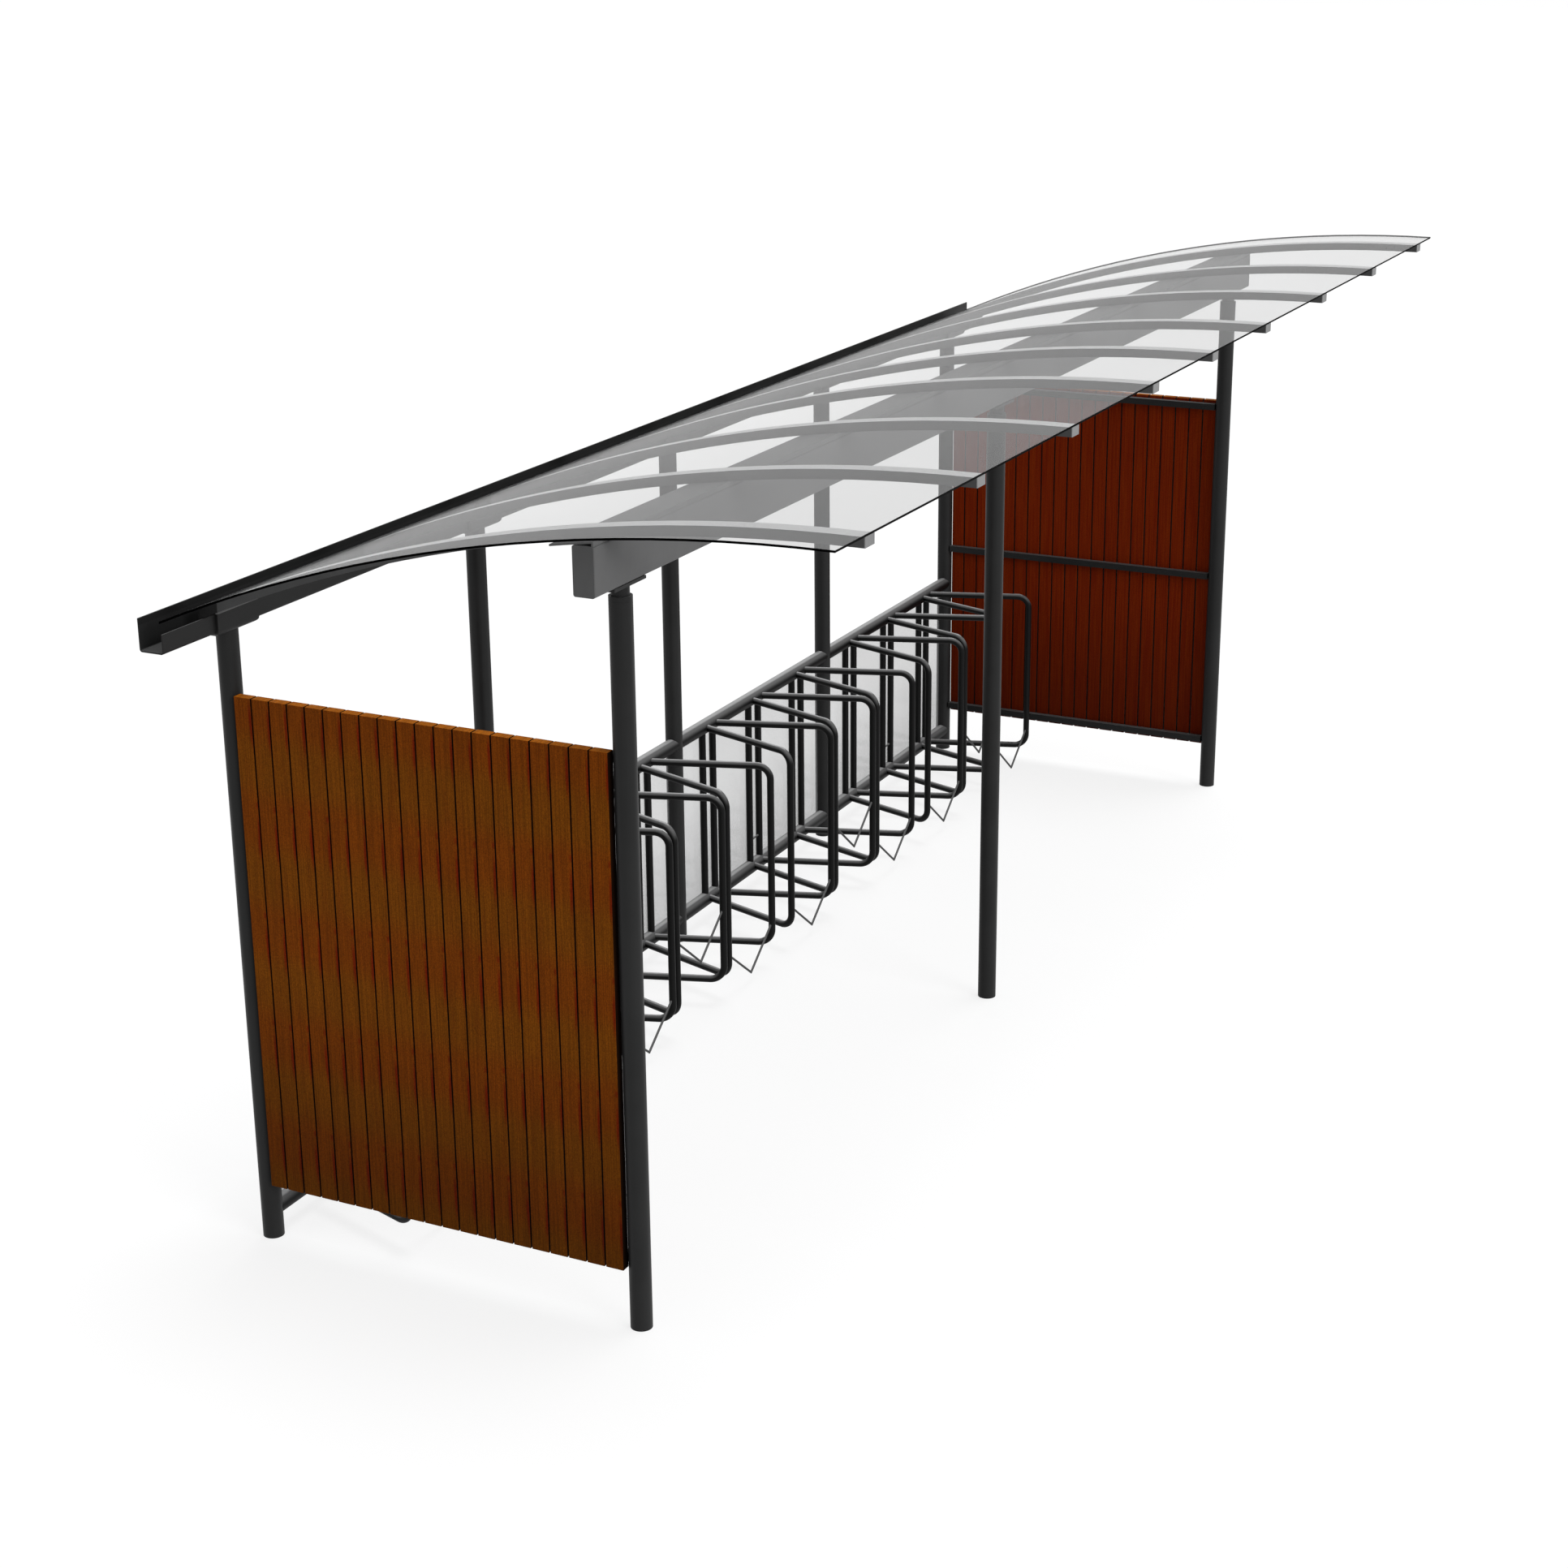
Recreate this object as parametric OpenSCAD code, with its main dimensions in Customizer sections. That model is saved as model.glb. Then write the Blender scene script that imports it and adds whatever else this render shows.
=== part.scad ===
// Bike shelter: barrel-curved roof on round posts, two boarded end walls and
// a row of high and low wheel slots. Sizes are in millimetres, +Z is up and
// the open front faces -Y.

/* [Layout] */
// Distance between neighbouring rear posts, one bay
bay = 1250; // [1000:10:1500]
// Distance from the rear post line to the front post line
post_depth = 1230; // [1000:10:1500]
// Headroom under the front beam
beam_bottom = 2105; // [1900:5:2300]

/* [Posts] */
// Outer diameter of the round posts
post_dia = 62; // [50:1:80]
// Wall of the post tube
post_wall = 3; // [2:0.5:5]

/* [Front beam] */
// Width of the beam from front to back
beam_width = 60; // [50:1:80]
// Height of the beam
beam_height = 130; // [100:1:160]
// Wall of the beam tube
beam_wall = 4; // [3:0.5:6]
// Beam length past the end post lines
beam_overhang = 178; // [140:1:260]

/* [Roof] */
// Radius of the clear sheet, to its middle
roof_radius = 4790; // [4200:10:5600]
// Distance from the sheet's front edge back to the crown of the curve
crown_setback = 46; // [0:1:200]
// Sheet length in front of the front post line
front_overhang = 732; // [500:1:900]
// Sheet length past the end post lines
side_overhang = 300; // [200:1:400]
// Thickness of the clear sheet
sheet_thick = 6; // [4:0.5:10]

/* [Ribs] */
// Width of a rib
rib_width = 53; // [40:1:70]
// Depth of a rib
rib_depth = 27; // [20:1:40]
// Wall of a rib tube
rib_wall = 2.5; // [2:0.5:4]
// End rib centre past the end post line
rib_overhang = 110; // [60:1:150]

/* [Gutter] */
// Outside width of the gutter
gutter_width = 78; // [60:1:110]
// Height of the front lip
lip_height = 55; // [40:1:80]
// Height of the back wall
back_height = 91.5; // [70:0.5:120]
// Sheet metal of the gutter
gutter_wall = 4; // [2:0.5:5]
// Gutter length past the end post lines
gutter_overhang = 311; // [220:1:420]
// Length of a gutter bracket
bracket_length = 180; // [120:1:240]
// Plate of a gutter bracket
bracket_thick = 8; // [5:0.5:12]

/* [End walls] */
// Underside of the boards above the floor
boards_low = 180; // [100:5:300]
// Top of the boards above the floor
boards_top = 1660; // [1200:5:1750]
// Thickness of the boards
board_thick = 30; // [20:1:40]
// Side of the square wall rails
wall_rail = 25; // [20:1:40]
// Wall of the wall rail tube
wall_rail_wall = 2; // [1.5:0.5:4]

/* [Rack] */
// Diameter of the two long rack rails
rail_dia = 52; // [40:1:56]
// Wall of the rack rail tube
rack_wall = 3; // [2:0.5:5]
// Height of the top rail's centre
rail_top = 762; // [600:1:850]
// Height of the bottom rail's centre
rail_low = 86; // [60:1:150]
// Diameter of the upright slot bars
bar_dia = 26; // [20:1:32]
// Wall of the slot bar tube
bar_wall = 2.5; // [1.5:0.5:4]
// Clear gap for the tyre between two slot bars
tyre_gap = 54; // [40:1:70]
// Distance between neighbouring slots
slot_pitch = 375; // [350:1:400]
// Diameter of the wheel loops
loop_dia = 25; // [20:1:30]
// Wall of the wheel loop tube
loop_wall = 2.5; // [1.5:0.5:4]
// Reach of the loops in front of the rail centre
loop_reach = 425; // [350:1:500]
// Centreline bend radius of the loops
loop_bend = 50; // [40:1:70]
// Diameter of the wheel rest rods
rod_dia = 8; // [6:1:12]

/* [Hidden] */
$fn = 96;
// Gap left for a weld or a seat
seat = 0.3;
// Step past a face in a cut
eps = 1;
post_r = post_dia / 2;
rail_r = rail_dia / 2;
bar_r = bar_dia / 2;
loop_r = loop_dia / 2;
rod_r = rod_dia / 2;
half_run = 2 * bay;
// Beam and post heads
beam_top = beam_bottom + beam_height;
head_plate = 8;
head_plate_len = 160;
head_collar = 12;
head_stub = 27;
head_stub_r = 24;
head_top = beam_bottom - seat;
front_post_top = head_top - head_plate - head_stub - head_collar - seat;
beam_front_y = -post_depth - beam_width / 2;
beam_rear_y = -post_depth + beam_width / 2;
beam_round = 6;
cap_thick = 4;
// Roof curve, in the frame whose Y is 0 on the rear post line
sheet_front_y = -post_depth - front_overhang;
crown_y = sheet_front_y + crown_setback;
sheet_out_r = roof_radius + sheet_thick / 2;
sheet_in_r = roof_radius - sheet_thick / 2;
rib_out_r = sheet_in_r - seat;
rib_in_r = rib_out_r - rib_depth;
plate_thick = 5;
plate_rear = 64;
plate_out_r = rib_in_r - seat;
plate_in_r = plate_out_r - plate_thick;
crown_to_beam = beam_rear_y - crown_y;
roof_z = beam_top - sqrt(plate_in_r * plate_in_r - crown_to_beam * crown_to_beam);
// Gutter
gutter_mid_y = 4.5;
gutter_y0 = gutter_mid_y - gutter_width / 2;
gutter_y1 = gutter_mid_y + gutter_width / 2;
gutter_bend = 8;
lip_top = arc_z(rib_in_r, gutter_y0 + gutter_wall) - seat;
gutter_z = lip_top - lip_height;
sheet_rear_y = gutter_y0 + gutter_wall + 12.5;
bracket_y0 = gutter_y0 - seat - bracket_thick;
bracket_y1 = gutter_y1 + seat + bracket_thick;
bracket_z = gutter_z - seat - bracket_thick;
rear_post_top = bracket_z - seat;
// End walls
wall_gap = 1;
wall_y0 = -post_depth + post_r + wall_gap;
wall_y1 = -post_r - wall_gap;
board_out = 35;
board_in = board_out - board_thick;
wall_rail_low = boards_low + 13;
wall_rail_high = boards_top - 11 - wall_rail;
wall_rail_mid = (wall_rail_low + wall_rail_high) / 2;
wall_rail_len = post_depth - post_dia - 2 * seat;
// Rack
rack_y = -3;
bar_off = (tyre_gap + bar_dia) / 2;
loop_root_inset = 10.6;
loop_root = bar_off - loop_root_inset;
nose_off = slot_pitch / 2 - 17.5;
nose_y = rack_y - loop_reach;
loop_low = rail_low + 6;
loop_run = sqrt((nose_off - loop_root) * (nose_off - loop_root) + loop_reach * loop_reach);
loop_turn = atan2(-loop_reach, nose_off - loop_root);
low_rest_end = 170;
low_rest_mid = 40;
high_rest_end = 358;
high_rest_mid = 223;
cross_rod_z = 194;
panel_thick = 3;
panel_y = rack_y + bar_r + seat;
panel_edge = sqrt((rail_r + seat) * (rail_r + seat) - (panel_y - rack_y) * (panel_y - rack_y));
panel_half = bay / 2 - sqrt((post_r + eps) * (post_r + eps) - panel_y * panel_y);
// Rear post line in the frame of the whole part
line_y = -(sheet_front_y + bracket_y1) / 2;

// Height of a roof radius at a distance y from the rear post line
function arc_z(r, y) = roof_z + sqrt(r * r - (y - crown_y) * (y - crown_y));
// Line of a rear post, counted from 1 at -X
function post_x(n) = (n - 3) * bay;
// Centre of a bay, counted from 1 at -X
function bay_x(n) = (n - 2.5) * bay;
// Spacing of the four ribs from an end rib to the one over the third post
rib_step = (bay + rib_overhang) / 2;
// Centre of a rib, counted from 1 at -X
function rib_x(n) = n < 5 ? -half_run - rib_overhang + (n - 1) * rib_step
    : (n == 5 ? 0 : half_run + rib_overhang - (9 - n) * rib_step);

// Shapes used by several pieces

// Runs a (y, z) outline along X, centred on x = 0
module along_x(len) {
    rotate([90, 0, 90])
        linear_extrude(len, center = true)
            children();
}

// Round tube or bar standing on z = 0
module tube(r, wall, len) {
    difference() {
        cylinder(r = r, h = len);
        translate([0, 0, -eps])
            cylinder(r = r - wall, h = len + 2 * eps);
    }
}

// Strip of a ring about the roof centre, cut square between two y values
module roof_strip(r_in, r_out, y0, y1) {
    intersection() {
        translate([crown_y, roof_z])
            difference() {
                circle(r = r_out, $fn = 720);
                circle(r = r_in, $fn = 720);
            }
        translate([y0, 1500])
            square([y1 - y0, 1500]);
    }
}

// Rectangle with four round corners, middle at the origin
module round_rect(w, h, r) {
    square([w - 2 * r, h], center = true);
    square([w, h - 2 * r], center = true);
    for (sy = [-1, 1])
        for (sz = [-1, 1])
            translate([sy * (w / 2 - r), sz * (h / 2 - r)])
                circle(r = r);
}

// Trough outline with two round lower corners
module trough(y0, y1, z0, z1, r) {
    translate([y0, z0 + r])
        square([y1 - y0, z1 - z0 - r]);
    translate([y0 + r, z0])
        square([y1 - y0 - 2 * r, 2 * r]);
    translate([y0 + r, z0 + r])
        circle(r = r);
    translate([y1 - r, z0 + r])
        circle(r = r);
}

// Folded U with a front wall up to zf and a back wall up to zb
module folded_u(y0, y1, z0, zf, zb, t, r) {
    difference() {
        trough(y0, y1, z0, zb, r);
        trough(y0 + t, y1 - t, z0 + t, zb + eps, r - t);
        translate([y0 - eps, zf])
            square([t + 2 * eps, zb - zf + eps]);
    }
}

// Posts

module rear_post(n) {
    color("#24272b")
        translate([post_x(n), line_y, 0])
            tube(post_r, post_wall, rear_post_top);
}

module front_post(n) {
    color("#24272b")
        translate([post_x(2 * n - 1), line_y - post_depth, 0])
            tube(post_r, post_wall, front_post_top);
}

// Cap ring, stub and flange between a front post and the beam
module front_post_head(n) {
    color("#24272b")
        translate([post_x(2 * n - 1), line_y - post_depth, front_post_top + seat]) {
            cylinder(r = post_r, h = head_collar);
            cylinder(r = head_stub_r, h = head_collar + head_stub + head_plate / 2);
            translate([-head_plate_len / 2, -beam_width / 2, head_collar + head_stub])
                cube([head_plate_len, beam_width, head_plate]);
        }
}

// Front beam

beam_len = 2 * (half_run + beam_overhang);

module front_beam() {
    color("#4a4d52")
        translate([0, line_y - post_depth, beam_bottom + beam_height / 2])
            along_x(beam_len - 2 * (cap_thick + seat))
                difference() {
                    round_rect(beam_width, beam_height, beam_round);
                    round_rect(beam_width - 2 * beam_wall, beam_height - 2 * beam_wall,
                        beam_round - beam_wall);
                }
}

module beam_end_caps() {
    color("#4a4d52")
        for (sx = [-1, 1])
            translate([sx * (beam_len - cap_thick) / 2, line_y - post_depth,
                beam_bottom + beam_height / 2])
                along_x(cap_thick)
                    round_rect(beam_width, beam_height, beam_round);
}

// Curved seat plate with a front leg, between the beam and the ribs
module beam_top_plate() {
    color("#4a4d52")
        translate([0, line_y, 0])
            along_x(beam_len) {
                roof_strip(plate_in_r, plate_out_r, beam_front_y, beam_rear_y + plate_rear);
                translate([beam_front_y, beam_top + seat])
                    square([plate_thick,
                        arc_z(plate_in_r, beam_front_y) - beam_top - seat + plate_thick / 2]);
            }
}

// Gutter

module gutter() {
    color("#2e3135")
        translate([0, line_y, 0])
            along_x(2 * (half_run + gutter_overhang))
                folded_u(gutter_y0, gutter_y1, gutter_z, lip_top, gutter_z + back_height,
                    gutter_wall, gutter_bend);
}

// Saddle under the gutter on every rear post
module gutter_brackets() {
    chamfer = 10;
    color("#2e3135")
        for (n = [1:5])
            translate([post_x(n), line_y, 0])
                difference() {
                    along_x(bracket_length)
                        folded_u(bracket_y0, bracket_y1, bracket_z, lip_top, lip_top,
                            bracket_thick, gutter_bend + bracket_thick);
                    for (sx = [-1, 1])
                        translate([sx * bracket_length / 2, 0, bracket_z])
                            rotate([0, 45, 0])
                                cube([chamfer, 4 * gutter_width, chamfer], center = true);
                }
}

// Roof

module rib(n) {
    end = rib_wall + seat;
    color("#4a4d52")
        translate([rib_x(n), line_y, 0])
            difference() {
                along_x(rib_width)
                    roof_strip(rib_in_r, rib_out_r, sheet_front_y + end, sheet_rear_y - end);
                along_x(rib_width - 2 * rib_wall)
                    roof_strip(rib_in_r + rib_wall, rib_out_r - rib_wall,
                        sheet_front_y - eps, sheet_rear_y + eps);
            }
}

module rib_end_caps() {
    color("#4a4d52")
        for (n = [1:9])
            translate([rib_x(n), line_y, 0])
                along_x(rib_width) {
                    roof_strip(rib_in_r, rib_out_r, sheet_front_y, sheet_front_y + rib_wall);
                    roof_strip(rib_in_r, rib_out_r, sheet_rear_y - rib_wall, sheet_rear_y);
                }
}

module roof_sheet() {
    color("#c9dde0", 0.35)
        translate([0, line_y, 0])
            along_x(2 * (half_run + side_overhang))
                roof_strip(sheet_in_r, sheet_out_r, sheet_front_y, sheet_rear_y);
}

// End walls, side is -1 for the left wall and 1 for the right wall

module wall_boards(side) {
    color("#64300a")
        translate([side * (half_run + board_in + board_thick / 2), line_y, 0])
            translate([-board_thick / 2, wall_y0, boards_low])
                cube([board_thick, wall_y1 - wall_y0, boards_top - boards_low]);
}

module wall_rails(side) {
    x_mid = half_run + board_in - seat - wall_rail / 2;
    color("#24272b")
        for (z = [wall_rail_low, wall_rail_mid, wall_rail_high])
            translate([side * x_mid, line_y - post_r - seat, z + wall_rail / 2])
                rotate([90, 0, 0])
                    linear_extrude(wall_rail_len)
                        difference() {
                            square(wall_rail, center = true);
                            square(wall_rail - 2 * wall_rail_wall, center = true);
                        }
}

// Rack

// Bores that shape the ends of rack pieces onto the posts
module post_bores(n) {
    for (m = [n, n + 1])
        translate([post_x(m), line_y, -eps])
            cylinder(r = post_r + seat, h = beam_bottom);
}

// Bores that shape the ends of rack pieces onto the rails, for one slot
module rail_bores(width) {
    for (z = [rail_low, rail_top])
        translate([-width / 2, 0, z])
            rotate([0, 90, 0])
                cylinder(r = rail_r + seat, h = width);
}

module rack_rails(n) {
    color("#2b2e33")
        difference() {
            for (z = [rail_low, rail_top])
                translate([post_x(n), line_y + rack_y, z])
                    rotate([0, 90, 0])
                        tube(rail_r, rack_wall, bay);
            post_bores(n);
        }
}

module slot_bars(n) {
    color("#2b2e33")
        for (slot = [-1, 0, 1])
            translate([bay_x(n) + slot * slot_pitch, line_y + rack_y, 0])
                difference() {
                    for (side = [-1, 1])
                        translate([side * bar_off, 0, rail_low])
                            tube(bar_r, bar_wall, rail_top - rail_low);
                    rail_bores(4 * bar_off);
                }
}

// Quarter bend in the (x, z) plane, from +x round to +z
module loop_elbow(r) {
    rotate([90, 0, 0])
        rotate_extrude(angle = 90)
            translate([loop_bend, 0])
                circle(r = r);
}

// U loop in the (x, z) plane, both legs running back to x = -back
module loop_bar(r, back) {
    leg = loop_run - loop_bend + back;
    for (z = [loop_low, rail_top])
        translate([-back, 0, z])
            rotate([0, 90, 0])
                cylinder(r = r, h = leg);
    translate([loop_run, 0, loop_low + loop_bend])
        cylinder(r = r, h = rail_top - loop_low - 2 * loop_bend);
    translate([loop_run - loop_bend, 0, rail_top - loop_bend])
        loop_elbow(r);
    translate([loop_run - loop_bend, 0, loop_low + loop_bend])
        mirror([0, 0, 1])
            loop_elbow(r);
}

module wheel_loops(n) {
    color("#2b2e33")
        for (slot = [-1, 0, 1])
            translate([bay_x(n) + slot * slot_pitch, line_y + rack_y, 0])
                difference() {
                    for (side = [0, 1])
                        mirror([side, 0, 0])
                            translate([loop_root, 0, 0])
                                rotate([0, 0, loop_turn])
                                    difference() {
                                        loop_bar(loop_r, 0);
                                        loop_bar(loop_r - loop_wall, eps);
                                    }
                    rail_bores(4 * bar_off);
                    for (side = [-1, 1])
                        translate([side * bar_off, 0, rail_low])
                            cylinder(r = bar_r + seat, h = rail_top - rail_low);
                }
}

// Bent rod from nose to nose, low in the middle
module rest_rod(z_end, z_mid) {
    run = sqrt(nose_off * nose_off + (z_end - z_mid) * (z_end - z_mid));
    lean = atan2(nose_off, z_end - z_mid);
    past = 2 * rod_dia;
    difference() {
        for (side = [0, 1])
            mirror([side, 0, 0])
                difference() {
                    translate([0, 0, z_mid])
                        rotate([0, lean, 0])
                            translate([0, 0, -past])
                                cylinder(r = rod_r, h = run + past);
                    translate([-2 * past, -past, 0])
                        cube([2 * past, 2 * past, rail_top]);
                }
        for (side = [-1, 1])
            translate([side * nose_off, 0, 0])
                cylinder(r = loop_r + seat, h = rail_top);
    }
}

// Short rod between the two bars of a high slot
module cross_rod() {
    difference() {
        translate([-bar_off, 0, 0])
            rotate([0, 90, 0])
                cylinder(r = rod_r, h = 2 * bar_off);
        for (side = [-1, 1])
            translate([side * bar_off, 0, -rod_dia])
                cylinder(r = bar_r + seat, h = 2 * rod_dia);
    }
}

module wheel_rests() {
    color("#2b2e33")
        for (n = [1:4])
            for (slot = [-1, 0, 1])
                translate([bay_x(n) + slot * slot_pitch, line_y, 0]) {
                    translate([0, nose_y, 0])
                        rest_rod(slot == 0 ? high_rest_end : low_rest_end,
                            slot == 0 ? high_rest_mid : low_rest_mid);
                    if (slot == 0)
                        translate([0, rack_y, cross_rod_z])
                            cross_rod();
                }
}

// Clear sheet behind the bars, one in each bay
module rack_panels() {
    color("#c9dde0", 0.35)
        for (n = [1:4])
            translate([bay_x(n) - panel_half, line_y + panel_y, rail_low + panel_edge])
                cube([2 * panel_half, panel_thick, rail_top - rail_low - 2 * panel_edge]);
}

rear_post(1);  // rear_post_1
rear_post(2);  // rear_post_2
rear_post(3);  // rear_post_3
rear_post(4);  // rear_post_4
rear_post(5);  // rear_post_5
front_post(1);  // front_post_1
front_post(2);  // front_post_2
front_post(3);  // front_post_3
front_post_head(1);  // front_post_head_1
front_post_head(2);  // front_post_head_2
front_post_head(3);  // front_post_head_3
front_beam();
beam_end_caps();
beam_top_plate();
gutter();
gutter_brackets();
rib(1);  // rib_1
rib(2);  // rib_2
rib(3);  // rib_3
rib(4);  // rib_4
rib(5);  // rib_5
rib(6);  // rib_6
rib(7);  // rib_7
rib(8);  // rib_8
rib(9);  // rib_9
rib_end_caps();
roof_sheet();
wall_boards(-1);  // left_wall_boards
wall_rails(-1);  // left_wall_rails
wall_boards(1);  // right_wall_boards
wall_rails(1);  // right_wall_rails
rack_rails(1);  // rack_rails_1
rack_rails(2);  // rack_rails_2
rack_rails(3);  // rack_rails_3
rack_rails(4);  // rack_rails_4
slot_bars(1);  // slot_bars_1
slot_bars(2);  // slot_bars_2
slot_bars(3);  // slot_bars_3
slot_bars(4);  // slot_bars_4
wheel_loops(1);  // wheel_loops_1
wheel_loops(2);  // wheel_loops_2
wheel_loops(3);  // wheel_loops_3
wheel_loops(4);  // wheel_loops_4
wheel_rests();
rack_panels();
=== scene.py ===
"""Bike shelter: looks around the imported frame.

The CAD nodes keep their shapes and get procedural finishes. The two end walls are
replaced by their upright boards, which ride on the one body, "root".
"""

import math

import bmesh
import bpy
from mathutils import Matrix, Vector


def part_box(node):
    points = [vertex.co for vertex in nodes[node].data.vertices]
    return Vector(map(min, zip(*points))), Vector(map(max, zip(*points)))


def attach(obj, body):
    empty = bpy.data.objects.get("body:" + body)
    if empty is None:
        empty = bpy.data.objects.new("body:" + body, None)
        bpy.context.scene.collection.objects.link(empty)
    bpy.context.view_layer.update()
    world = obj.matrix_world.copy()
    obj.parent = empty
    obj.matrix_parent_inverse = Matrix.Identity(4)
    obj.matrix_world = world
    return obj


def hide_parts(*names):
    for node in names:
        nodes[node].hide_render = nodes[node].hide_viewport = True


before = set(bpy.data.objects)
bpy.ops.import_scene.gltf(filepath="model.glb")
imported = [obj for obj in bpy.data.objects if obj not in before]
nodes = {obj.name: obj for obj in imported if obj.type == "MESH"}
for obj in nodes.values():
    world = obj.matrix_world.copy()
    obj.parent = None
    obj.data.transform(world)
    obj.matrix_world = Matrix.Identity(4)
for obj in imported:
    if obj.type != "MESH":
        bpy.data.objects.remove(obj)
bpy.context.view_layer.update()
scene = bpy.context.scene


# ---------------------------------------------------------------- node helpers

# Most of a noise's values lie between these
NOISE_MID, NOISE_WIDE = (0.35, 0.65), (0.3, 0.7)


def grey(v):
    """Neutral grey, a touch cool."""
    return (v, v * 1.005, v * 1.01)


class Tree:
    """Short calls for building one node tree."""

    def __init__(self, nt, output):
        self.nt = nt
        self.nt.nodes.clear()
        self.out = self.add(output)

    def add(self, kind, **props):
        n = self.nt.nodes.new(kind)
        for k, v in props.items():
            setattr(n, k, v)
        return n

    def put(self, socket, value):
        """Link a socket to the input, or set the input to a number or a colour."""
        if isinstance(value, bpy.types.NodeSocket):
            self.nt.links.new(value, socket)
        elif isinstance(value, tuple) and len(value) == 3 and socket.type == "RGBA":
            socket.default_value = (*value, 1.0)
        else:
            socket.default_value = value

    def math(self, op, a, b=0.0):
        n = self.add("ShaderNodeMath", operation=op)
        self.put(n.inputs[0], a)
        self.put(n.inputs[1], b)
        return n.outputs[0]

    def most(self, *values):
        top = values[0]
        for v in values[1:]:
            top = self.math("MAXIMUM", top, v)
        return top

    def product(self, *values):
        result = values[0]
        for v in values[1:]:
            result = self.math("MULTIPLY", result, v)
        return result

    def ramp(self, value, lo, hi, to_lo=0.0, to_hi=1.0, smooth=True):
        n = self.add("ShaderNodeMapRange")
        n.interpolation_type = "SMOOTHSTEP" if smooth else "LINEAR"
        for name, v in (("Value", value), ("From Min", lo), ("From Max", hi),
                        ("To Min", to_lo), ("To Max", to_hi)):
            self.put(n.inputs[name], v)
        return n.outputs["Result"]

    def hump(self, value, rise, fall):
        """0 to 1 over the pair rise, and back to 0 over the pair fall."""
        return self.product(self.ramp(value, *rise), self.ramp(value, *fall, 1.0, 0.0))

    def mix(self, factor, a, b):
        n = self.add("ShaderNodeMix", data_type="RGBA")
        for i, v in ((0, factor), (6, a), (7, b)):
            self.put(n.inputs[i], v)
        return n.outputs[2]

    def times(self, colour, factor):
        n = self.add("ShaderNodeVectorMath", operation="SCALE")
        self.put(n.inputs[0], colour)
        self.put(n.inputs["Scale"], factor)
        return n.outputs[0]

    def coords(self):
        return self.add("ShaderNodeTexCoord").outputs["Object"]

    def noise(self, vector, scale, detail=3.0, rough=0.5, distortion=0.0):
        """Noise with its own scale along each axis when scale is a tuple."""
        if isinstance(scale, tuple):
            m = self.add("ShaderNodeMapping")
            self.put(m.inputs["Vector"], vector)
            m.inputs["Scale"].default_value = scale
            vector, scale = m.outputs["Vector"], 1.0
        n = self.add("ShaderNodeTexNoise")
        for name, v in (("Vector", vector), ("Scale", scale), ("Detail", detail),
                        ("Roughness", rough), ("Distortion", distortion)):
            self.put(n.inputs[name], v)
        return n.outputs["Fac"]

    def clouded(self, noise, v, share):
        """Grey v, made darker and paler by share as the noise goes."""
        return self.mix(self.ramp(noise, *NOISE_MID), grey(v * (1 - share)), grey(v * (1 + share)))

    def split(self, vector):
        n = self.add("ShaderNodeSeparateXYZ")
        self.put(n.inputs[0], vector)
        return n.outputs

    def normal(self):
        return self.split(self.add("ShaderNodeNewGeometry").outputs["Normal"])

    def bump(self, height, strength, distance):
        n = self.add("ShaderNodeBump")
        for name, v in (("Height", height), ("Strength", strength), ("Distance", distance)):
            self.put(n.inputs[name], v)
        return n.outputs["Normal"]

    def principled(self, colour, rough, spec, bump=None, alpha=None):
        n = self.add("ShaderNodeBsdfPrincipled")
        self.put(n.inputs["Base Color"], colour)
        self.put(n.inputs["Roughness"], rough)
        n.inputs["Specular IOR Level"].default_value = spec
        if alpha is not None:
            self.put(n.inputs["Alpha"], alpha)
        if bump is not None:
            self.put(n.inputs["Normal"], bump)
        return n.outputs[0]

    def ray(self, *names):
        """1 for the named kinds of ray."""
        path = self.add("ShaderNodeLightPath").outputs
        return self.most(*[path[f"Is {name} Ray"] for name in names])


def new_material(name):
    mat = bpy.data.materials.new(name)
    mat.use_nodes = True
    return mat, Tree(mat.node_tree, "ShaderNodeOutputMaterial")


# ---------------------------------------------------------------- powder coat

PEEL_SCALE, PEEL_STRENGTH, PEEL_DEPTH = 700.0, 0.12, 0.0004
CLOUD_SCALE, CLOUD_TONE = 3.5, 0.12
# Painted top light: where it starts and how much of it sloping faces take
SLOPE_FACING, SLOPE_SHARE = (0.15, 0.80), 0.30
CROWN_FULL = 0.99
ROUGH_DOWN, ROUGH_UP = 0.05, 0.07
SHADE_STEP = 0.003


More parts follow.
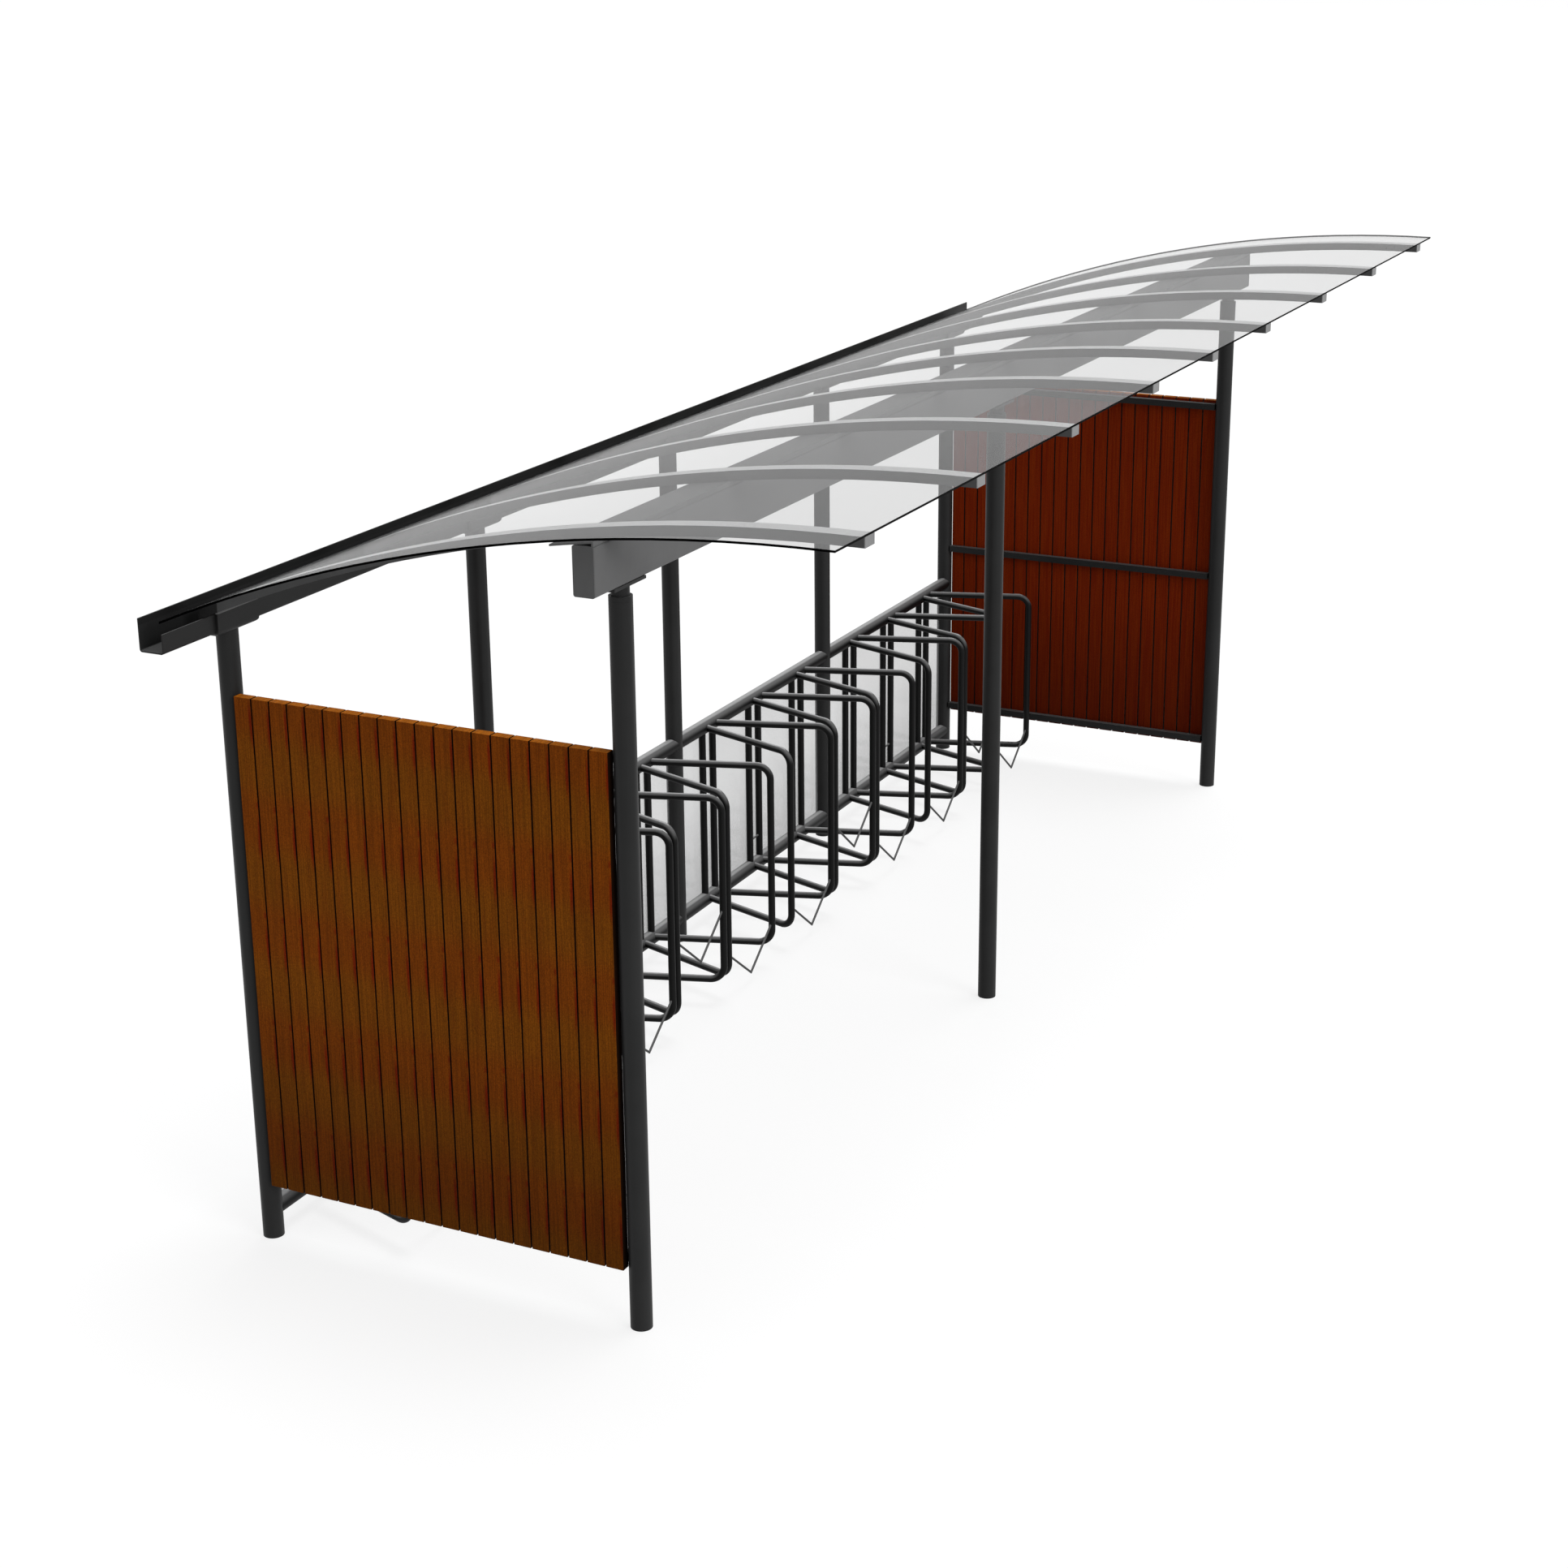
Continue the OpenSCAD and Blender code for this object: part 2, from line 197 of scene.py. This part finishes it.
def powder_coat(name, side, up=None, spec=0.13, rough=0.45, crown=0.72, shaded=None):
    """Satin powder coat: fine orange peel, a little uneven, with a painted top light where it faces up.

    side is the grey of upright faces and up the painted top-lit grey of level ones, which
    starts where the normal's Z passes crown. shaded is (axis, start, tone): past start on
    that axis the coat has this darker tone, a painted shade.
    """
    mat, t = new_material(name)
    at = t.coords()
    peel = t.noise(at, PEEL_SCALE, detail=2.0)
    cloud = t.noise(at, CLOUD_SCALE, detail=4.0, rough=0.6)
    tone = t.clouded(cloud, side, CLOUD_TONE)
    # painted top light: level faces take the grey up, sloping faces part of it
    if up is not None:
        facing_up = t.normal()[2]
        sloping_top_light = grey(side + (up - side) * SLOPE_SHARE)
        tone = t.mix(t.ramp(facing_up, *SLOPE_FACING), tone, sloping_top_light)
        tone = t.mix(t.ramp(facing_up, crown, CROWN_FULL), tone, grey(up))
    # painted shade: past start the coat takes the darker tone
    if shaded is not None:
        axis, start, dark = shaded
        tone = t.mix(t.ramp(t.split(at)[axis], start, start + SHADE_STEP), tone, grey(dark))
    gloss = t.ramp(cloud, *NOISE_WIDE, rough - ROUGH_DOWN, rough + ROUGH_UP)
    surface = t.principled(tone, gloss, spec, t.bump(peel, PEEL_STRENGTH, PEEL_DEPTH))
    t.put(t.out.inputs[0], surface)
    return mat


# --------------------------------------------------------------- clear sheets

CUT_FACING = (0.62, 0.80)
CUT_FRONT, CUT_SIDE, CUT_DEEP, CUT_ROUGH = 0.022, 0.001, 0.002, 0.8
VEIL_UNEVEN = 0.03
VEIL_ROUGH, VEIL_SPEC = 0.12, 0.2
VEIL_SHADOW = 0.35
HAZE_SCALE = 1.2
GRAIN_SCALE, GRAIN_HIGH = 330.0, 0.25


def veiled_sheet(name, veil, cover, grain=0.0, low=None):
    """Clear sheet with a light grey veil on its two faces and dark cut edges.

    veil is the veil's grey and cover the share of light it stops. grain is how much a
    fine speckle varies the cover. low is (z0, z1, more): the cover grows by more from
    height z1 down to height z0, a painted shade towards the bottom, and only the cuts
    that face along X are dark. A lamp's light meets only the share VEIL_SHADOW of the
    cover.
    """
    mat, t = new_material(name)
    at = t.coords()
    normal = t.normal()
    facing_x, facing_y = (t.math("ABSOLUTE", axis) for axis in normal[:2])
    side_cut = t.ramp(facing_x, *CUT_FACING)
    haze = t.noise(at, HAZE_SCALE)
    amount = t.ramp(haze, *NOISE_WIDE, cover * (1 - VEIL_UNEVEN), cover * (1 + VEIL_UNEVEN))
    if low is None:
        rim = t.ramp(t.most(facing_x, facing_y), *CUT_FACING)
    else:
        rim = side_cut
        z0, z1, more = low
        z = t.split(at)[2]
        # painted shade: the cover grows towards the bottom
        amount = t.math("ADD", amount, t.ramp(z, z0, z1, more, 0.0))
        fine = t.noise(at, GRAIN_SCALE, detail=2.0, rough=0.6)
        speck = t.ramp(fine, *NOISE_WIDE, -grain, grain, smooth=False)
        amount = t.math("ADD", amount, t.product(speck, t.ramp(z, z0, z1, 1.0, GRAIN_HIGH)))
    share_met = t.math("SUBTRACT", 1.0, t.math("MULTIPLY", t.ray("Shadow"), 1.0 - VEIL_SHADOW))
    tone = t.clouded(haze, veil, VEIL_UNEVEN)
    face = t.principled(tone, VEIL_ROUGH, VEIL_SPEC, alpha=t.product(amount, share_met))
    cut_tone = t.mix(side_cut, grey(CUT_FRONT), grey(CUT_SIDE))
    edge = t.principled(t.mix(haze, cut_tone, grey(CUT_DEEP)), CUT_ROUGH, 0.0)
    both = t.add("ShaderNodeMixShader")
    for i, v in enumerate((rim, face, edge)):
        t.put(both.inputs[i], v)
    t.put(t.out.inputs[0], both.outputs[0])
    return mat


# ---------------------------------------------------------------- oiled wood

OLIVE, WARM = (0.202, 0.0565, 0.0024), (0.208, 0.0470, 0.0020)
FIGURE_BROWN = (0.168, 0.034, 0.0020)
STREAK_RED = (0.172, 0.0120, 0.0009)
INNER_RED, INNER_BROWN = (0.196, 0.0138, 0.0007), (0.184, 0.0205, 0.0008)
# End grain paler partly as a painted top light; board sides in the joints near-black as a painted shade
LIT_END_GRAIN = (0.330, 0.0950, 0.0046)
JOINT_PAINTED_SHADE = (0.010, 0.0035, 0.0012)
INNER_FACING, END_FACING, JOINT_FACING = (0.2, 0.7), (0.45, 0.85), (0.55, 0.90)
WOOD_ROUGH, WOOD_SPEC = 0.72, 0.05
GRAIN_STRENGTH, GRAIN_DEPTH, PORE_DEPTH_SHARE = 0.22, 0.0007, 0.5

# Noise scales along X, Y and Z
FIBRE_SCALE, FIGURE_SCALE = (1.0, 290.0, 4.0), (1.0, 34.0, 5.0)
SPECK_SCALE, PORE_SCALE = (420.0, 420.0, 260.0), (900.0, 900.0, 45.0)
NEXT_BOARD = 0.9

# The figure repeats down each board, from just above its top
FIGURE_STEP = 0.325
FIGURE_ABOVE = 0.025
FIGURE_SLIP = 0.012
WAVE_LEAD, WAVE_MIX = 0.08, (-0.8, 0.8)

# Shares of one figure step: a knot, then the streak below it
KNOT_RISE, KNOT_FALL, KNOT_SHARE = (0.00, 0.03), (0.05, 0.09), 0.75
RUN_RISE, RUN_FALL = (0.08, 0.26), (0.38, 0.62)

# Ramps: from, to, value at from, value at to
FIGURE_AMOUNT = (0.48, 0.74, 0.0, 0.35)
STREAK_WANDER = (0.3, 0.7, -0.035, 0.035)
STREAK_INNER_SIDE = (0.74, 0.88, 0.0, 0.95)
STREAK_EDGE_SIDE = (0.90, 0.99, 1.0, 0.25)
BOARD_LIFT = (0.0, 1.0, 0.97, 1.03)
FIBRE_LIFT = (0.37, 0.63, 0.82, 1.14)
SPECK_LIFT = (0.32, 0.68, 0.66, 1.34)
PORE_LIFT = (0.40, 0.62, 0.93, 1.03)
# Painted shade: the boards darker towards the foot
FOOT_PAINTED_SHADE = (0.16, 0.95, 0.60, 1.0)


def red_streak(t, u, across, figure):
    """How red a place is: beside the -Y edge, from a knot down, once in each figure step."""
    knot = t.product(t.hump(u, KNOT_RISE, KNOT_FALL), KNOT_SHARE)
    run = t.hump(u, RUN_RISE, RUN_FALL)
    wander = t.math("ADD", across, t.ramp(figure, *STREAK_WANDER))
    band = t.product(t.ramp(wander, *STREAK_INNER_SIDE), t.ramp(wander, *STREAK_EDGE_SIDE))
    return t.product(t.most(knot, run), band)


def oiled_wood(name, pitch, y0, top, outward):
    """Oiled softwood boards, grain along Z.

    y0 is the +Y edge of the first board and top the boards' upper ends. outward is the
    sign of X on the wall's outer face, whose figure repeats down each board.
    """
    mat, t = new_material(name)
    at = t.coords()
    y, z = t.split(at)[1:3]
    normal = t.normal()
    place = t.math("DIVIDE", t.math("SUBTRACT", y0, y), pitch)
    index = t.math("FLOOR", place)
    across = t.math("FRACT", place)

    # each board is cut from another height of the same figure, by up to FIGURE_SLIP
    lot = t.add("ShaderNodeTexWhiteNoise", noise_dimensions="1D")
    t.put(lot.inputs["W"], index)
    own = lot.outputs["Value"]
    start = t.math("ADD", top + FIGURE_ABOVE, t.product(own, FIGURE_SLIP))
    u = t.math("FRACT", t.math("DIVIDE", t.math("SUBTRACT", start, z), FIGURE_STEP))

    board = t.add("ShaderNodeCombineXYZ")
    for i, v in enumerate((t.product(index, NEXT_BOARD), y, z)):
        t.put(board.inputs[i], v)
    fibre = t.noise(board.outputs[0], FIBRE_SCALE, rough=0.55, distortion=0.2)
    figure = t.noise(board.outputs[0], FIGURE_SCALE, rough=0.55, distortion=0.5)
    speck = t.noise(at, SPECK_SCALE, detail=2.0, rough=0.7)
    pore = t.noise(at, PORE_SCALE, detail=2.0, rough=0.6)

    # the outer face, warm and olive by turns, with its figure and its red streaks
    wave = t.math("SINE", t.product(t.math("ADD", u, WAVE_LEAD), 2 * math.pi))
    tone = t.mix(t.ramp(wave, *WAVE_MIX), OLIVE, WARM)
    tone = t.mix(t.ramp(figure, *FIGURE_AMOUNT), tone, FIGURE_BROWN)
    tone = t.mix(red_streak(t, u, across, figure), tone, STREAK_RED)

    # the face towards the bicycles is redder and has kept its oil
    facing_in = t.ramp(t.product(normal[0], -outward), *INNER_FACING)
    inner = t.mix(t.ramp(fibre, *NOISE_MID), INNER_RED, INNER_BROWN)
    tone = t.mix(facing_in, tone, inner)

    # paler end grain on top, partly a painted top light; the board sides in the joints a painted shade,
    # near-black
    tone = t.mix(t.ramp(normal[2], *END_FACING), tone, LIT_END_GRAIN)
    tone = t.mix(t.ramp(t.math("ABSOLUTE", normal[1]), *JOINT_FACING), tone, JOINT_PAINTED_SHADE)

    # grain and board tone, with a painted shade darker towards the foot
    grain_and_foot_shade = t.product(t.ramp(own, *BOARD_LIFT, smooth=False), t.ramp(fibre, *FIBRE_LIFT),
                     t.ramp(speck, *SPECK_LIFT, smooth=False), t.ramp(pore, *PORE_LIFT),
                     t.ramp(z, *FOOT_PAINTED_SHADE))
    height = t.math("ADD", fibre, t.product(pore, PORE_DEPTH_SHARE))
    bump = t.bump(height, GRAIN_STRENGTH, GRAIN_DEPTH)
    t.put(t.out.inputs[0], t.principled(t.times(tone, grain_and_foot_shade), WOOD_ROUGH, WOOD_SPEC, bump))
    return mat


# -------------------------------------------------------------- the CAD nodes

BAYS, RIBS, REAR_POSTS, FRONT_POSTS = 4, 9, 5, 3
# Height of the painted shade strip at the top of the gutter's back
BACK_PAINTED_SHADE = 0.020
# Length of each rib's end in front of the gutter that gets a painted shade
RIB_PAINTED_SHADE = 0.048

gutter_low, gutter_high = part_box("gutter")
BACK_EDGE = gutter_high[2] - BACK_PAINTED_SHADE
RIB_END = gutter_low[1] - RIB_PAINTED_SHADE

# Each coat's up is a painted top light on the faces turned up
POST = powder_coat("post_paint", side=0.020, up=0.07)
RACK = powder_coat("rack_paint", side=0.0060, up=0.38, spec=0.09, crown=0.84)
ROD = powder_coat("rod_paint", side=0.045, up=0.30)
# The gutter's back gets a painted shade along its top strip
GUTTER = powder_coat("gutter_paint", side=0.015, up=0.055, shaded=(2, BACK_EDGE, 0.008))
BEAM = powder_coat("beam_paint", side=0.135, up=0.22)
BEAM_CAP = powder_coat("beam_cap_paint", side=0.110, up=0.22)
PLATE = powder_coat("plate_paint", side=0.13, up=0.115)
# Each rib gets a painted shade on its end in front of and in the gutter
RIB = powder_coat("rib_paint", side=0.085, up=0.66, shaded=(1, RIB_END, 0.018))
# The rib caps are a lighter, lit copy of the rib paint, a painted light, with a painted shade on the
# rear ones
RIB_CAP_LIT = powder_coat("rib_cap_lit_paint", side=0.26, shaded=(1, RIB_END, 0.012))
WALL_RAIL = powder_coat("rail_paint", side=0.014, up=0.10)
SHEET = veiled_sheet("clear_sheet", veil=0.21, cover=0.262)
PANEL = veiled_sheet("panel", veil=0.37, cover=0.26, grain=0.09, low=(0.12, 0.52, 0.13))


def numbered(stem, count):
    return [f"{stem}_{i}" for i in range(1, count + 1)]


def dress(mat, *names):
    """Give the named nodes one finish."""
    for name in names:
        slots = nodes[name].data.materials
        if not slots:
            slots.append(mat)
        for i in range(len(slots)):
            slots[i] = mat


dress(POST, *numbered("rear_post", REAR_POSTS), *numbered("front_post", FRONT_POSTS),
      *numbered("front_post_head", FRONT_POSTS))
dress(GUTTER, "gutter", "gutter_brackets")
dress(BEAM, "front_beam")
dress(BEAM_CAP, "beam_end_caps")
dress(PLATE, "beam_top_plate")
dress(RIB, *numbered("rib", RIBS))
dress(RIB_CAP_LIT, "rib_end_caps")
dress(SHEET, "roof_sheet")
dress(WALL_RAIL, "left_wall_rails", "right_wall_rails")
dress(RACK, *numbered("rack_rails", BAYS), *numbered("slot_bars", BAYS), *numbered("wheel_loops", BAYS))
dress(ROD, "wheel_rests")
dress(PANEL, "rack_panels")


# ---------------------------------------------------------------- wall boards

BOARDS = 20
BOARD_GAP = 0.0042
EASE_OUT, EASE_IN, EASE_END = 0.0014, 0.0026, 0.0008
ARC_STEPS = 3
SAME_HEIGHT = 1e-6


def board_outline(x0, x1, y0, y1, ease0, ease1):
    """Plan of one board: a rectangle with its corners rounded, by ease0 at x0 and ease1 at x1."""
    points = []
    corners = ((x0, y0, ease0), (x1, y0, ease1), (x1, y1, ease1), (x0, y1, ease0))
    for k, (x, y, ease) in enumerate(corners):
        cx = x + (ease if x == x0 else -ease)
        cy = y + (ease if y == y0 else -ease)
        for i in range(ARC_STEPS + 1):
            a = math.radians(180 + 90 * k + 90 * i / ARC_STEPS)
            points.append((cx + ease * math.cos(a), cy + ease * math.sin(a)))
    return points


def board_mesh(name, lo, hi, pitch, eases):
    """Upright boards from lo to hi, with eased edges."""
    bm = bmesh.new()
    for k in range(BOARDS):
        y_high = hi.y - k * pitch
        plan = board_outline(lo.x, hi.x, y_high - pitch + BOARD_GAP, y_high, *eases)
        foot = bm.faces.new([bm.verts.new((x, y, lo.z)) for x, y in plan])
        grown = bmesh.ops.extrude_face_region(bm, geom=[foot])["geom"]
        crown = [v for v in grown if isinstance(v, bmesh.types.BMVert)]
        bmesh.ops.translate(bm, verts=crown, vec=(0, 0, hi.z - lo.z))
    bmesh.ops.recalc_face_normals(bm, faces=bm.faces)
    ends = [e for e in bm.edges if abs(e.verts[0].co.z - e.verts[1].co.z) < SAME_HEIGHT]
    bmesh.ops.bevel(bm, geom=ends, offset=EASE_END, segments=2, affect="EDGES", profile=0.5)
    mesh = bpy.data.meshes.new(name)
    bm.to_mesh(mesh)
    bm.free()
    return mesh


def board_wall(side, node, outward):
    """Boards that fill the box of the wall's slab and stand in for it."""
    lo, hi = (Vector(c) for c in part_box(node))
    pitch = (hi.y - lo.y + BOARD_GAP) / BOARDS
    eases = (EASE_IN, EASE_OUT) if outward > 0 else (EASE_OUT, EASE_IN)
    mesh = board_mesh(f"{side}_boards", lo, hi, pitch, eases)
    mesh.materials.append(oiled_wood(f"{side}_timber", pitch, hi.y, hi.z, outward))
    o = bpy.data.objects.new(f"{side}_boards", mesh)
    scene.collection.objects.link(o)
    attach(o, "root")
    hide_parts(node)


board_wall("left", "left_wall_boards", -1.0)
board_wall("right", "right_wall_boards", 1.0)


# ------------------------------------------------------------- floor and light

SEEN_BY = ("Camera", "Glossy", "Transmission")
FLOOR_HALF = 60.0
FLOOR_DROP = 0.0005
FLOOR_COLOUR = 0.20
FLOOR_SHOWN, FLOOR_FILL = 0.79, 0.20
SKY_SHOWN, SKY_LOW, SKY_HIGH = 1.0, 0.34, 0.50


def pale_floor():
    """Wide floor that is brighter to the eye than as a light on the shelter."""
    mesh = bpy.data.meshes.new("floor")
    corners = [(x * FLOOR_HALF, y * FLOOR_HALF, 0) for x, y in ((-1, -1), (1, -1), (1, 1), (-1, 1))]
    mesh.from_pydata(corners, [], [(0, 1, 2, 3)])
    floor = bpy.data.objects.new("floor", mesh)
    scene.collection.objects.link(floor)
    floor.location.z = -FLOOR_DROP
    mat, t = new_material("pale_floor")
    diffuse = t.add("ShaderNodeBsdfDiffuse")
    t.put(diffuse.inputs["Color"], grey(FLOOR_COLOUR))
    glow = t.add("ShaderNodeEmission")
    t.put(glow.inputs["Strength"], t.ramp(t.ray(*SEEN_BY), 0.0, 1.0, FLOOR_FILL, FLOOR_SHOWN))
    both = t.add("ShaderNodeAddShader")
    t.put(both.inputs[0], diffuse.outputs[0])
    t.put(both.inputs[1], glow.outputs[0])
    t.put(t.out.inputs[0], both.outputs[0])
    mesh.materials.append(mat)


def studio_sky():
    """White to the eye, and a softer light on the shelter that grows towards the top."""
    world = bpy.data.worlds.new("studio")
    scene.world = world
    world.use_nodes = True
    t = Tree(world.node_tree, "ShaderNodeOutputWorld")
    height = t.split(t.add("ShaderNodeTexCoord").outputs["Generated"])[2]
    soft = t.ramp(height, 0.0, 1.0, SKY_LOW, SKY_HIGH, smooth=False)
    background = t.add("ShaderNodeBackground")
    t.put(background.inputs["Color"], (1.0, 1.0, 1.0))
    t.put(background.inputs["Strength"], t.ramp(t.ray(*SEEN_BY), 0.0, 1.0, soft, SKY_SHOWN))
    t.put(t.out.inputs[0], background.outputs[0])


def soft_sun(name, energy, towards, width):
    """Sun lamp that stands in the direction towards and is width degrees wide."""
    lamp = bpy.data.lights.new(name, "SUN")
    lamp.energy = energy
    lamp.angle = math.radians(width)
    o = bpy.data.objects.new(name, lamp)
    scene.collection.objects.link(o)
    o.rotation_mode = "QUATERNION"
    o.rotation_quaternion = Vector(towards).to_track_quat("Z", "Y")


pale_floor()
studio_sky()
soft_sun("overhead", energy=2.0, towards=(0.25, -0.10, 0.96), width=30)
soft_sun("front", energy=1.5, towards=(-0.25, -0.88, 0.40), width=30)


# --------------------------------------------------------------------- camera

LENS = 62.43
CAM_AT = (-8.1974, -3.5461, 3.8320)
PITCH, YAW, ROLL = (math.radians(a) for a in (19.056, 26.345, -0.525))


def add_camera():
    """Camera at CAM_AT that looks down by PITCH, YAW round from +X and tilted by ROLL."""
    cam = bpy.data.cameras.new("camera")
    cam.lens = LENS
    cam.sensor_width = 36.0
    cam.clip_end = 200.0
    o = bpy.data.objects.new("camera", cam)
    scene.collection.objects.link(o)
    level_ahead = math.cos(PITCH)
    forward = Vector((level_ahead * math.cos(YAW), level_ahead * math.sin(YAW), -math.sin(PITCH)))
    level = Vector((math.sin(YAW), -math.cos(YAW), 0.0))
    above = level.cross(forward)
    right = math.cos(ROLL) * level + math.sin(ROLL) * above
    up = math.cos(ROLL) * above - math.sin(ROLL) * level
    turn = Matrix((right, up, -forward)).transposed()
    o.matrix_world = Matrix.Translation(CAM_AT) @ turn.to_4x4()
    return o


scene.camera = add_camera()
scene.view_settings.view_transform = "Standard"
